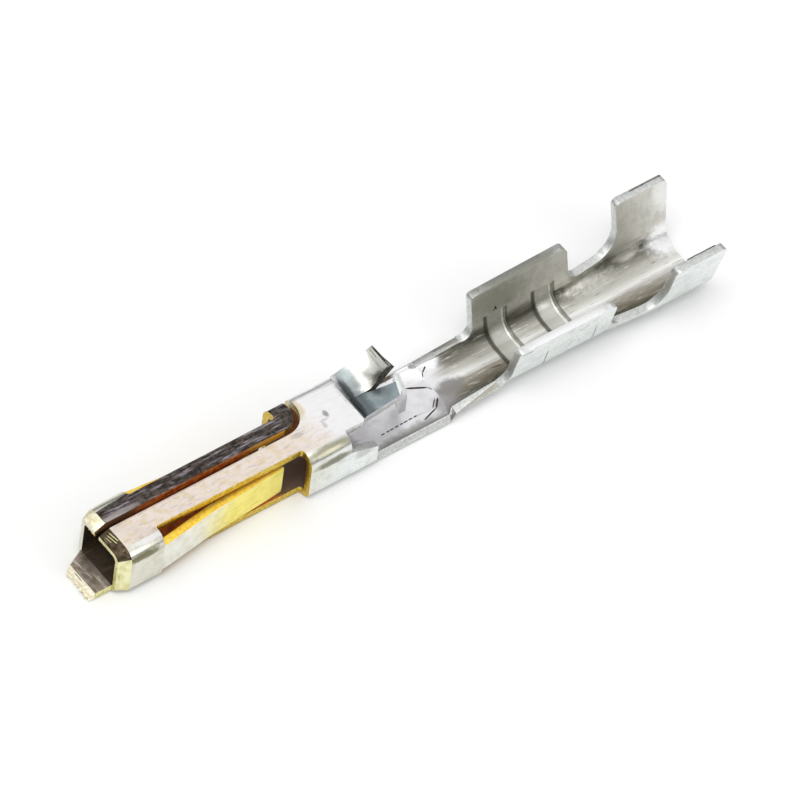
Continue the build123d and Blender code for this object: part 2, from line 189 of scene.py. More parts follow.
def drawnBarrel(name, look):
    # Inside of trough and barrels: painted reflection bands and draw lines along the draw, matte flat wings, pressed
    # serration bands
    material, tree = newMaterial(name)
    coords = addNode(tree, "ShaderNodeTexCoord").outputs["Object"]
    drawn = [size * share for size, share in zip(perMm, look["stretch"])]
    place = addNode(tree, "ShaderNodeMapping", {"Scale": perMm}, {"Vector": coords}).outputs["Vector"]
    along = addNode(tree, "ShaderNodeMapping", {"Scale": drawn}, {"Vector": coords}).outputs["Vector"]
    axes = addNode(tree, "ShaderNodeSeparateXYZ", links={"Vector": place}).outputs
    pattern = {"X": axes["X"], "Y": axes["Y"], "Z": axes["Z"]}
    for key, vector, detail, roughness in (("fine", along, 4.0, 0.65), ("broad", along, 3.0, 0.6),
                                           ("mottle", place, 5.0, 0.6), ("grain", place, 2.0, 0.55)):
        pattern[key] = addNode(tree, "ShaderNodeTexNoise",
                               {"Scale": look[key + "PerMm"], "Detail": detail, "Roughness": roughness},
                               {"Vector": vector}).outputs["Fac"]
    # how far along the trough the drawn finish with its painted reflection bands starts, in a ragged line
    pattern["fade"] = addNode(tree, "ShaderNodeMath", {"operation": "MULTIPLY_ADD", 1: look["fadeWander"]},
                              {0: pattern["broad"], 2: axes["X"]}).outputs["Value"]
    share = {}
    for key, (source, lowAt, highAt, low, high) in look["steps"].items():
        share[key] = addNode(tree, "ShaderNodeMapRange", {**smooth, "From Min": lowAt, "From Max": highAt,
                                                          "To Min": low, "To Max": high},
                             {"Value": pattern[source]}).outputs["Result"]
    # the painted reflection bands lie across the barrel, which is narrower inside at its rear
    across = addNode(tree, "ShaderNodeMath", {"operation": "MULTIPLY"},
                     {0: axes["Y"], 1: share["narrow"]}).outputs["Value"]
    across = addNode(tree, "ShaderNodeMath", {"operation": "MULTIPLY_ADD", 1: look["wander"]},
                     {0: pattern["broad"], 2: across}).outputs["Value"]
    shift = look["reach"] + look["wander"] / 2
    across = addNode(tree, "ShaderNodeMapRange", {"From Min": look["wander"] - shift, "From Max": shift},
                     {"Value": across}).outputs["Result"]
    ramp = addNode(tree, "ShaderNodeValToRGB", links={"Fac": across})
    while len(ramp.color_ramp.elements) < len(look["bands"]):
        ramp.color_ramp.elements.new(0.5)
    for element, (where, shade) in zip(ramp.color_ramp.elements, look["bands"]):
        element.position = (where / look["reach"] + 1) / 2
        element.color = hexColour(shade)
    colour = ramp.outputs["Color"]
    for key in ("line", "glint"):
        colour = addNode(tree, "ShaderNodeMix", {**mixed, 7: hexColour(look[key])},
                         {0: share[key], 6: colour}).outputs[2]
    wing = addNode(tree, "ShaderNodeMix", {**mixed, 6: hexColour(look["wing"]), 7: hexColour(look["wingMottle"])},
                   {0: share["wingMottle"]}).outputs[2]
    wing = addNode(tree, "ShaderNodeMix", {**mixed, 7: hexColour(look["line"])},
                   {0: share["wingLine"], 6: wing}).outputs[2]
    colour = addNode(tree, "ShaderNodeMix", mixed, {0: share["onWing"], 6: colour, 7: wing}).outputs[2]
    plain = addNode(tree, "ShaderNodeMix",
                    {**mixed, 6: hexColour(look["plainNear"]), 7: hexColour(look["plainFar"])},
                    {0: share["plainFar"]}).outputs[2]
    colour = addNode(tree, "ShaderNodeMix", mixed, {0: share["drawn"], 6: plain, 7: colour}).outputs[2]
    for patch in look["toneAndLightPatches"]:
        colour = toneAndLightPatch(tree, place, colour, *patch)
    # each pressed band: a lighter tone inside, and painted shade and highlight lines at its steps
    for first, last in look["pressed"]:
        middle, half = (first + last) / 2, (last - first) / 2
        for start, shiftX, reach, tone, most in ((middle, 0.0, half, look["press"], look["pressShare"]),
                                                 *((first if end == "first" else last, *line)
                                                   for end, *line in look["pressLines"])):
            offset = addNode(tree, "ShaderNodeMath", {"operation": "SUBTRACT", 1: start + shiftX},
                             {0: axes["X"]}).outputs["Value"]
            off = addNode(tree, "ShaderNodeMath", {"operation": "ABSOLUTE"}, {0: offset}).outputs["Value"]
            near = addNode(tree, "ShaderNodeMapRange",
                           {**smooth, "From Min": reach * 0.5, "From Max": reach * 1.2,
                            "To Min": most, "To Max": 0.0}, {"Value": off}).outputs["Result"]
            there = addNode(tree, "ShaderNodeMath", {"operation": "MULTIPLY"},
                            {0: near, 1: share["belowPressTop"]}).outputs["Value"]
            colour = addNode(tree, "ShaderNodeMix", {**mixed, 7: hexColour(tone)}, {0: there, 6: colour}).outputs[2]
    height = addNode(tree, "ShaderNodeMath", {"operation": "MULTIPLY_ADD", 1: look["lineShare"]},
                     {0: pattern["fine"], 2: pattern["grain"]}).outputs["Value"]
    bump = addNode(tree, "ShaderNodeBump", {"Strength": look["bump"], "Distance": look["depth"] * mm},
                   {"Height": height}).outputs["Normal"]
    shader = addNode(tree, "ShaderNodeBsdfPrincipled", {"Metallic": look["metallic"]},
                     {"Base Color": colour, "Roughness": share["rough"], "Normal": bump})
    addNode(tree, "ShaderNodeOutputMaterial", links={"Surface": shader.outputs["BSDF"]})
    return material


# The terminal: the folded sheet with its sheared edges slightly rounded
stations = {    # where finishes change along it, mm from the mating end
    "lipBreak": -0.445, "mouth": 0.0, "windowFront": 1.19, "boxRear": 6.55, "stopBend": 8.22, "rise": 9.42,
    "trough": 10.62,
}
sheet = {
    "thickest": 0.235,      # a wall thicker than this, seen from a face, makes it a cut face, mm
    "edgeRound": 0.014,     # mm, the rollover that a punch leaves
    "edgeOver": 50.0,       # degrees between faces, the edges that are rolled over
    "smoothUnder": 24.0,    # degrees
    "mergeWithin": 0.0008,  # mm, corners this close are one
    "flatWithin": 0.6,      # degrees, faces this close to one plane are one
    "probe": 0.004,         # mm under a face, where its wall is measured from
}
cadNode = frame["nodes"]["crimp_terminal"]
selectOnly(cadNode)
bpy.ops.object.duplicate()
terminal = bpy.context.active_object
terminal.name = "foldedSheet"
del terminal["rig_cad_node"]
terminal.data.materials.clear()
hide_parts("crimp_terminal")
selectOnly(terminal)
bpy.ops.object.mode_set(mode="EDIT")
bpy.ops.mesh.select_all(action="SELECT")
bpy.ops.mesh.customdata_custom_splitnormals_clear()
bpy.ops.mesh.remove_doubles(threshold=sheet["mergeWithin"] * mm)
bpy.ops.mesh.dissolve_limited(angle_limit=math.radians(sheet["flatWithin"]))
for cut in stations.values():       # the long faces are cut across where their finish changes
    bpy.ops.mesh.select_all(action="SELECT")
    bpy.ops.mesh.bisect(plane_co=(cut * mm, 0, 0), plane_no=(1, 0, 0))
bpy.ops.object.mode_set(mode="OBJECT")
print("sheet merged:", len(terminal.data.polygons), "faces")

# PerMm gives a pattern's features to the millimetre. Real plating grain is some microns wide, and here it is drawn
# as coarse as 0.02 mm to show. Each tone patch, painted light and shade among them, gives its centre, radii, tone and
# share.
looks = {
    "tinOuter": {   # bright tin, barrel-plated: near white with a faint cool tinge, warmer at the contact end
        "base": "#e9edeb", "mottle": "#d9dedc", "streak": "#c1c7c6",
        "flashAndShadeBase": "#dfddd0", "flashAndShadeMottle": "#cfcdbb", "flashAndShadeStreak": "#b0ad95", "flashAndShadeFrom": 5.4, "flashAndShadeTo": 7.2,
        "mottlePerMm": 3.5, "mottleRange": (0.45, 0.68), "streakPerMm": 9.0, "streakRange": (0.58, 0.80),
        "grainPerMm": 60.0, "rough": (0.22, 0.34), "bump": 0.22, "depth": 0.004,
        # patches: painted dark reflections on the near bend in front and at the box's rear (x 0.60 and 5.90), a
        # painted highlight along the near bend in front (0.90), painted shade dimming the near bend at the box's rear
        # (5.85), a greyer patch low on the near wall (6.75) and a slightly darker patch on the far bend in front
        # (0.80)
        "toneAndLightPatches": [((0.60, -0.94, 1.15), (0.62, 0.3, 0.14), "#6b6848", 0.9),
                    ((0.90, -0.72, 1.39), (0.70, 0.12, 0.08), "#ffffff", 0.7),
                    ((6.75, -0.94, 0.78), (0.34, 0.3, 0.20), "#b4b6b2", 0.7),
                    ((5.90, -0.94, 1.03), (0.70, 0.3, 0.16), "#68654a", 0.85),
                    ((5.85, -0.80, 1.34), (0.85, 0.16, 0.16), "#a8a58f", 0.95),
                    ((0.80, 0.72, 1.32), (0.90, 0.20, 0.16), "#c9c8b4", 0.60)],
    },
    "roofNear": {   # plating on the roof: cream and pinkish with tan brush marks in front, white behind
        "base": "#fbfafa", "mottle": "#f6f4f4", "streak": "#efecec",
        "flashAndShadeBase": "#f3e6db", "flashAndShadeMottle": "#e8d4ac", "flashAndShadeStreak": "#bfb0b4", "flashAndShadeFrom": 5.9, "flashAndShadeTo": 6.9,
        "mottlePerMm": 5.0, "mottleRange": (0.40, 0.78), "streakPerMm": 15.0, "streakRange": (0.48, 0.86),
        "streakStretch": (0.22, 1, 1),
        "grainPerMm": 60.0, "rough": (0.24, 0.38), "bump": 0.3, "depth": 0.005,
        # patches: painted shade darkening towards the crease and a dark painted shade line in it (x 7.20, 7.12),
        # painted shade in the roof's dimples (5.40 to 6.30), a tan patch (5.80) and a darker rosy strip along the seam
        # (2.40)
        "toneAndLightPatches": [((7.20, 0.2, 1.41), (0.34, 1.2, 0.5), "#8b9092", 0.8),
                    ((7.12, 0.30, 1.38), (0.10, 0.50, 0.5), "#3d4041", 0.9),
                    ((6.30, 0.03, 1.41), (0.08, 0.13, 0.3), "#908e8e", 0.8),
                    ((6.09, -0.23, 1.41), (0.07, 0.13, 0.3), "#b1adab", 0.5),
                    ((6.16, -0.10, 1.41), (0.16, 0.05, 0.3), "#c4c0bf", 0.5),
                    ((5.40, -0.14, 1.41), (0.22, 0.09, 0.3), "#ad9f94", 0.5),
                    ((5.80, 0.50, 1.41), (0.22, 0.40, 0.3), "#dcca94", 0.7),
                    ((2.40, 0.02, 1.41), (3.20, 0.10, 0.3), "#b7a396", 0.65)],
    },
    "roofFar": {    # worn, darkened plating on the far flap with lengthwise draw lines
        "base": "#5c544d", "mottle": "#37312e", "streak": "#a79fa6",
        "mottlePerMm": 9.0, "mottleRange": (0.38, 0.62), "streakPerMm": 18.0, "streakRange": (0.50, 0.74),
        "grainPerMm": 60.0, "rough": (0.35, 0.5), "bump": 0.45, "depth": 0.006,
        "toneAndLightPatches": [((0.62, 0.72, 1.41), (0.72, 0.14, 0.4), "#d6d5c0", 0.95),
                    ((0.70, 0.20, 1.41), (0.75, 0.10, 0.3), "#a39d9a", 0.8)],
    },
    "cutEdge": {    # sheared edge: half burnished, half torn, gold-flashed at the contact end
        "base": "#dadcd9", "mottle": "#c6c8c4", "streak": "#929490",
        "flashAndShadeBase": "#c8a634", "flashAndShadeMottle": "#e0cf72", "flashAndShadeStreak": "#7a6418", "flashAndShadeFrom": 6.5, "flashAndShadeTo": 7.0,
        "mottlePerMm": 16.0, "mottleRange": (0.42, 0.62), "streakPerMm": 24.0, "streakRange": (0.62, 0.80),
        "streakStretch": (0.6, 1, 1),
        "grainPerMm": 45.0, "rough": (0.32, 0.5), "bump": 0.45, "depth": 0.007,
        # patches: painted shade on the far wing's top edge and a painted highlight on the near wing's top edge
        "toneAndLightPatches": [((12.3, 0.95, 1.53), (1.7, 0.35, 0.2), "#85857a", 0.85),
                    ((12.3, -0.95, 1.53), (1.7, 0.35, 0.2), "#ffffff", 0.8)],
    },
    "slotEdge": {   # bare bronze in the narrow seam, dark in front, gold towards its rear end
        "base": "#c2602c", "mottle": "#dd963e", "streak": "#7c3c18",
        "mottlePerMm": 8.0, "mottleRange": (0.40, 0.62), "streakPerMm": 10.0, "streakRange": (0.55, 0.75),
        "grainPerMm": 45.0, "rough": (0.4, 0.55), "bump": 0.5, "depth": 0.006, "metallic": 0.15,
        "toneAndLightPatches": [((5.1, 0.2, 1.3), (1.2, 0.8, 0.6), "#dfae3e", 0.85),
                    ((0.5, 0.2, 1.3), (0.9, 0.6, 0.5), "#51402f", 0.85)],
    },
    "beamFace": {   # spring beams: grey-white at their roots, lemon gold flash towards the free end
        "base": "#f7ec88", "mottle": "#ebdf72", "streak": "#d9ca62",
        "flashAndShadeBase": "#eeeee6", "flashAndShadeMottle": "#dfdfd4", "flashAndShadeStreak": "#cbc9b8", "flashAndShadeFrom": 2.9, "flashAndShadeTo": 4.4,
        "mottlePerMm": 4.0, "mottleRange": (0.40, 0.65), "streakPerMm": 10.0, "streakRange": (0.58, 0.78),
        "grainPerMm": 60.0, "rough": (0.26, 0.38), "bump": 0.2, "depth": 0.004,
    },
    "beamTop": {    # upper cut edge of the beams, bright gold and mottled
        "base": "#ffde52", "mottle": "#efb63a", "streak": "#fff09c",
        "mottlePerMm": 12.0, "mottleRange": (0.45, 0.68), "streakPerMm": 18.0, "streakRange": (0.55, 0.72),
        "streakStretch": (0.5, 1, 1),
        "grainPerMm": 45.0, "rough": (0.3, 0.45), "bump": 0.5, "depth": 0.008, "metallic": 0.6,
    },
    "boxInside": {  # inside of the box: red-brown bronze seen through the windows, with painted shade darkening the mouth and the rear inside
        "base": "#cc6c2a", "mottle": "#a2521e", "streak": "#dc9048",
        # the front tone is painted shade in the box's mouth
        "flashAndShadeBase": "#443828", "flashAndShadeMottle": "#332a1e", "flashAndShadeStreak": "#6a5a44", "flashAndShadeFrom": 1.5, "flashAndShadeTo": 2.5,
        "mottlePerMm": 4.0, "mottleRange": (0.40, 0.65), "streakPerMm": 8.0, "streakRange": (0.58, 0.78),
        "grainPerMm": 40.0, "rough": (0.45, 0.6), "bump": 0.3, "depth": 0.006, "metallic": 0.15,
        # painted shade deeper inside the box, towards its rear
        "toneAndLightPatches": [((5.3, 0.0, 0.7), (1.0, 2.4, 1.8), "#63564a", 0.95)],
    },
    "gutterFloor": {    # flat floor between box and barrels: lilac-grey satin, with a painted highlight on the far side, painted shade on the near side and under the roof's rear end, and a painted shadow of the lance
        "base": "#e9e8ea", "mottle": "#dddcde", "streak": "#c6c4c7",
        "mottlePerMm": 2.5, "mottleRange": (0.40, 0.65), "streakPerMm": 9.0, "streakRange": (0.60, 0.80),
        "grainPerMm": 50.0, "rough": (0.30, 0.42), "bump": 0.3, "depth": 0.005, "metallic": 0.75,
        "toneAndLightPatches": [((9.42, 0.78, 0.2), (0.80, 0.52, 0.6), "#ffffff", 1.0),
                    ((8.4, -0.80, 0.2), (1.7, 0.30, 0.6), "#86857f", 0.8),
                    ((6.7, -0.2, 0.2), (0.45, 0.9, 0.6), "#9b9a99", 0.6),
                    ((9.50, -0.50, 0.2), (0.45, 0.42, 0.3), "#9c9a99", 0.8),
                    ((8.65, 0.86, 0.2), (0.36, 0.14, 0.3), "#4b3a27", 0.9)],
    },
    "noseNear": {   # coined lead-in of the near roof half, brown where the flash is rubbed off
        "base": "#675947", "mottle": "#3c3023", "streak": "#b9ac8e",
        "mottlePerMm": 8.0, "mottleRange": (0.40, 0.65), "streakPerMm": 13.0, "streakRange": (0.60, 0.76),
        "streakStretch": (1, 0.3, 1),
        "grainPerMm": 50.0, "rough": (0.3, 0.45), "bump": 0.5, "depth": 0.006,
    },
    "noseFar": {    # the same on the far half, olive gold
        "base": "#efe9cc", "mottle": "#cfc596", "streak": "#fbf6e4",
        "mottlePerMm": 8.0, "mottleRange": (0.42, 0.66), "streakPerMm": 13.0, "streakRange": (0.55, 0.72),
        "streakStretch": (1, 0.4, 1),
        "grainPerMm": 50.0, "rough": (0.3, 0.45), "bump": 0.5, "depth": 0.006, "metallic": 0.5,
    },
    "noseSide": {   # the bevel down the side walls, pale lemon
        "base": "#efecc4", "mottle": "#dbd79c", "streak": "#bcb780",
        "mottlePerMm": 6.0, "mottleRange": (0.40, 0.65), "streakPerMm": 12.0, "streakRange": (0.58, 0.75),
        "streakStretch": (1, 1, 0.4),
        "grainPerMm": 50.0, "rough": (0.28, 0.42), "bump": 0.35, "depth": 0.005,
    },
    "noseRim": {    # front edge of the box, flashed pale lemon
        "base": "#e6e2ae", "mottle": "#c9c378", "streak": "#fbf8da",
        "mottlePerMm": 9.0, "mottleRange": (0.42, 0.66), "streakPerMm": 14.0, "streakRange": (0.55, 0.72),
        "streakStretch": (1, 0.5, 0.5),
        "grainPerMm": 45.0, "rough": (0.32, 0.48), "bump": 0.4, "depth": 0.006, "metallic": 0.8,
    },
    "lipTop": {     # lead-in lip: taupe
        "base": "#a5988b", "mottle": "#857869", "streak": "#d6ccbe",
        "mottlePerMm": 6.0, "mottleRange": (0.40, 0.65), "streakPerMm": 13.0, "streakRange": (0.54, 0.72),
        "streakStretch": (1, 0.15, 1),
        "grainPerMm": 50.0, "rough": (0.35, 0.5), "bump": 0.5, "depth": 0.008,
    },
    "lipFracture": {    # torn face where the lip left its carrier strip: cream with dark cracks
        "base": "#fff9e2", "mottle": "#e9e0c0", "streak": "#75664c",
        "mottlePerMm": 14.0, "mottleRange": (0.42, 0.64), "streakPerMm": 18.0, "streakRange": (0.64, 0.76),
        "streakStretch": (1, 1, 1.6),
        "grainPerMm": 30.0, "rough": (0.4, 0.6), "bump": 0.8, "depth": 0.016, "metallic": 0.35,
    },
    "stopTop": {    # satin blue-grey tin on the lowered roof, with painted shade darkening it at the crease
        "base": "#96a3a7", "mottle": "#a8b3b6", "streak": "#c3cbcc",
        "mottlePerMm": 5.0, "mottleRange": (0.40, 0.65), "streakPerMm": 9.0, "streakRange": (0.60, 0.80),
        "grainPerMm": 50.0, "rough": (0.35, 0.5), "bump": 0.3, "depth": 0.005,
        "toneAndLightPatches": [((7.22, -0.1, 1.2), (0.32, 1.3, 0.5), "#60686a", 0.85),
                    ((7.14, 0.0, 1.25), (0.12, 0.6, 0.5), "#3d4041", 0.9)],
    },
    "stopEnd": {    # bend at the end of the wire stop, bright with a greenish tinge
        "base": "#f6faf7", "mottle": "#e6ede9", "streak": "#cfd6d2",
        "mottlePerMm": 6.0, "mottleRange": (0.45, 0.68), "streakPerMm": 12.0, "streakRange": (0.60, 0.80),
        "grainPerMm": 50.0, "rough": (0.3, 0.42), "bump": 0.3, "depth": 0.005, "metallic": 0.4,
    },
    "stopRim": {    # thin near edge of the wire stop, satin
        "base": "#cfced0", "mottle": "#bdbcbe", "streak": "#a4a3a5",
        "mottlePerMm": 5.0, "mottleRange": (0.40, 0.65), "streakPerMm": 14.0, "streakRange": (0.60, 0.80),
        "grainPerMm": 50.0, "rough": (0.35, 0.5), "bump": 0.3, "depth": 0.005,
    },
    "lanceFace": {  # locking lance: bright tin, with painted shade at its root and in the crease, and a painted shadow along its near edge
        "base": "#c6c8c0", "mottle": "#b6b8af", "streak": "#a3a59b",
        "mottlePerMm": 6.0, "mottleRange": (0.45, 0.68), "streakPerMm": 12.0, "streakRange": (0.58, 0.80),
        "grainPerMm": 50.0, "rough": (0.32, 0.45), "bump": 0.3, "depth": 0.005,
        "toneAndLightPatches": [((7.22, 0.5, 1.35), (0.36, 0.9, 0.5), "#8f9799", 0.85),
                    ((7.16, 0.30, 1.38), (0.12, 0.42, 0.5), "#3d4041", 0.85),
                    ((7.82, 0.14, 1.55), (0.30, 0.20, 0.5), "#4d4841", 0.85),
                    ((7.985, 0.5, 1.68), (0.030, 0.9, 0.8), "#a5a5a1", 0.8)],
    },
    "lanceEdge": {  # torn dark rim round the lance's tip
        "base": "#55524c", "mottle": "#2d2a26", "streak": "#a6a39c",
        "mottlePerMm": 14.0, "mottleRange": (0.40, 0.62), "streakPerMm": 16.0, "streakRange": (0.58, 0.75),
        "grainPerMm": 45.0, "rough": (0.35, 0.55), "bump": 0.6, "depth": 0.01,
    },
}
barrelLook = {  # matte tin drawn lengthwise, with painted reflections: dark olive bands in the bends and a bright painted highlight ridge along the floor
    "reach": 0.75, "wander": 0.16,
    "stretch": (0.10, 1, 1), "fadeWander": 0.8, "lineShare": 0.7,
    # the painted reflection bands across the trough, as place across it and tone
    "bands": ((-0.70, "#a9a79b"), (-0.52, "#6c6a5c"), (-0.30, "#867d6f"), (-0.12, "#a9a59a"), (0.03, "#f6f6f3"),
              (0.14, "#dad9d2"), (0.32, "#b3b1a6"), (0.48, "#76746a"), (0.60, "#5e5c50"), (0.72, "#a8a69c")),
    "line": "#4f4d42", "glint": "#f4f4ef",
    # plainNear and plainFar: the trough's floor before the drawn finish starts, painted shade on its near side and
    # painted light on its far side
    "plainNear": "#a19f9e", "plainFar": "#eae9ea", "wing": "#d9d8d0", "wingMottle": "#cccac2",
    "steps": {      # a share that steps smoothly: pattern or axis in mm, from, to, share before, share after
        "narrow": ("X", 13.6, 15.2, 1.0, 0.80), "line": ("fine", 0.56, 0.78, 0.0, 0.75),
        "glint": ("fine", 0.30, 0.44, 0.55, 0.0), "wingMottle": ("mottle", 0.42, 0.66, 0.0, 1.0),
        "wingLine": ("fine", 0.62, 0.85, 0.0, 0.5), "onWing": ("Z", 0.48, 0.72, 0.0, 1.0),
        "plainFar": ("Y", -0.30, 0.10, 0.0, 1.0), "drawn": ("fade", 9.85, 10.5, 0.0, 1.0),
        "belowPressTop": ("Z", 0.80, 0.84, 1.0, 0.0), "rough": ("Z", 0.48, 0.72, 0.26, 0.42),
    },
    "press": "#cac9c1", "pressShare": 0.85, "pressed": ((11.34, 11.86), (12.68, 13.20)),
    "pressLines": (     # beside each pressed band: its end, shift and half width in mm, tone, share; the dark lines are painted shade at the band's steps, the light one a painted highlight on its rear step
        ("first", -0.02, 0.08, "#45433a", 0.85), ("last", -0.05, 0.025, "#f4f4ef", 0.9),
        ("last", 0.03, 0.035, "#45433a", 0.68)),
    # patches: painted shade at the far wing's front (x 11.6), beside the rise (9.78) and in streaks on the trough
    # (10.45, 15.30), painted highlights at the rear end (16.35, 16.5), on the trough (12.95, 14.2) and on the rise
    # (9.75), and a painted shadow of the lance (8.60)
    "toneAndLightPatches": [((11.6, 0.95, 1.1), (1.3, 0.5, 0.6), "#9c9d8c", 0.7),
                ((16.35, 0.55, 0.45), (0.65, 0.45, 0.45), "#ffffff", 0.95),
                ((16.5, 1.10, 1.5), (0.50, 0.4, 0.8), "#ffffff", 0.6),
                ((12.95, 0.35, 0.5), (0.35, 0.5, 0.5), "#eeede8", 0.7),
                ((14.2, 0.45, 0.5), (1.1, 0.35, 0.4), "#dbdad1", 0.7),
                ((15.30, 0.74, 0.50), (0.45, 0.25, 0.36), "#c4c3b8", 0.90),
                ((9.78, -0.12, 0.2), (0.50, 0.26, 0.3), "#8b8885", 0.90),
                ((10.45, 0.42, 0.34), (0.70, 0.16, 0.30), "#77756a", 0.60),
                ((9.75, 0.62, 0.45), (0.28, 0.3, 0.4), "#ffffff", 0.9),
                ((8.60, 0.82, 0.35), (0.42, 0.20, 0.5), "#4b3a27", 0.95)],
    "finePerMm": 20.0, "broadPerMm": 6.0, "mottlePerMm": 5.0, "grainPerMm": 55.0,
    "bump": 0.35, "depth": 0.006, "metallic": 0.75,
}
finishes = list(looks) + ["barrelInside"]
for name in list(looks):
    terminal.data.materials.append(platedMetal(name, looks[name]))
terminal.data.materials.append(drawnBarrel("barrelInside", barrelLook))
print("finishes made:", len(finishes))


def pickFinish(centre, normal, wall):
    # the finish of a face, from its place and facing in mm and the wall behind it
    x, y, z = centre
    inward = -normal.y * y + normal.z * (0.7 - z)       # above 0 where the face looks into the box or barrel
    if x < stations["lipBreak"] and normal.z > -0.3:
        return "lipFracture"
    # the coined bevel round the mouth
    if x < 0.26 and normal.x < 0.75 and inward < 0.05 and z > 0.1 and (x > 0.02 or normal.z > 0.3):
        if normal.z > 0.4 and z > 1.0:
            return "noseFar" if y > 0.05 else "noseNear"
        if x > 0.02 and wall < 0.3:
            return "noseSide"
    if x > 9.5 and abs(normal.y) < 0.1 and z > 0.35:
        return "cutEdge"
    # the seam notch takes in the centre of this face of the far wall, so the ray behind it meets the near wall
    if 4.8 < x < 7.12 and y > 0.85 and normal.y > 0.95:
        return "tinOuter"
    # cut faces have the sheet's width behind them, not its thickness
    if wall > sheet["thickest"]:
        if x < 0.03 or (4.7 < x < 5.5 and y > 0.85 and z > 0.9):
            return "noseRim"
        if x < 4.75 and -0.10 < y < 0.55 and z > 1.16 and abs(normal.z) < 0.5:
            return "slotEdge"
        if stations["windowFront"] < x < 4.80 and normal.z > 0.8 and 1.0 < z < 1.2:
            return "beamTop"
        if 7.3 < x < 8.3 and z > 1.3 and y > 0.1:
            return "lanceEdge"
        if 7.12 < x < 8.6 and z > 0.95 and y < 0.15 and normal.y < -0.5:
            return "stopRim"
        return "cutEdge"
    # the box, its bends first
    onBend = y < -0.63 or (x < 1.2 and (y > 0.54 or y < -0.50))
    if x < 7.12 and onBend and z > 1.1 and -0.1 < normal.z < 0.985 and inward < 0:
        return "tinOuter"
    if x < 7.12 and z > 1.30 and normal.z > 0.8:
        return "roofFar" if y > 0.13 and x < 5.7 else "roofNear"
    if 1.0 < x < 4.80 and 0.2 < z < 1.18 and abs(normal.y) > 0.8 and abs(y) < 0.93 and y * normal.y > 0:
        return "beamFace"
    if x < stations["boxRear"] and inward > 0.05:
        return "boxInside" if x > stations["mouth"] else "lipTop"
    # lance and wire stop, then gutter and barrels
    if x > 6.9 and z > 0.8 and x < 9.0 and abs(y) < 0.9 and inward < 0.05:
        if y > 0.12 and z > 1.25:
            return "lanceFace"
        return "stopEnd" if x > stations["stopBend"] else "stopTop"
    if 6.5 < x < stations["rise"] and abs(z - 0.2) < 0.02 and normal.z > 0.9:
        return "gutterFloor"
    if x > 6.5 and (normal.z > 0.2 or inward > 0.05) and z > 0.13:
        return "barrelInside"
    return "tinOuter"


mesh = terminal.data
walls = BVHTree.FromPolygons([v.co.copy() for v in mesh.vertices], [list(p.vertices) for p in mesh.polygons])
noWall = 9.0        # mm, stands for open space behind a face
counts = {}
for face in mesh.polygons:
    hit = walls.ray_cast(face.center - face.normal * sheet["probe"] * mm, -face.normal)
    wall = (hit[3] / mm + sheet["probe"]) if hit[0] is not None else noWall
    finish = pickFinish(face.center / mm, face.normal, wall)
    face.material_index = finishes.index(finish)
    counts[finish] = counts.get(finish, 0) + 1
print("faces by finish:", counts)

selectOnly(terminal)
rounded = terminal.modifiers.new("punchRollover", "BEVEL")
rounded.width = sheet["edgeRound"] * mm
rounded.segments = 2
rounded.limit_method = "ANGLE"
rounded.angle_limit = math.radians(sheet["edgeOver"])
rounded.use_clamp_overlap = True
bpy.ops.object.modifier_apply(modifier=rounded.name)
bpy.ops.object.shade_smooth_by_angle(angle=math.radians(sheet["smoothUnder"]))
weighted = terminal.modifiers.new("flatFaces", "WEIGHTED_NORMAL")
weighted.keep_sharp = True
bpy.ops.object.modifier_apply(modifier=weighted.name)
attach(terminal, "root")
print("sheet dressed:", len(terminal.data.polygons), "faces")


def ribbon(start, end, width, parts, taper=0.25):
    # a narrow flat strip of grid, laid from start to end in mm and tapered at both ends
    bpy.ops.object.select_all(action="DESELECT")
    bpy.ops.mesh.primitive_grid_add(x_subdivisions=parts, y_subdivisions=1, size=1.0)
    strip = bpy.context.active_object
    start, end = Vector(start), Vector(end)
    along = (end - start).normalized()
    side = along.cross(Vector((0, 0, 1)) if abs(along.z) < 0.9 else Vector((0, 1, 0))).normalized()
    for vertex in strip.data.vertices:
        share = vertex.co.x + 0.5
        thin = taper + (1 - taper) * min(1.0, 6 * share, 6 * (1 - share))
        vertex.co = (start.lerp(end, share) + side * vertex.co.y * width * thin) * mm
    return strip


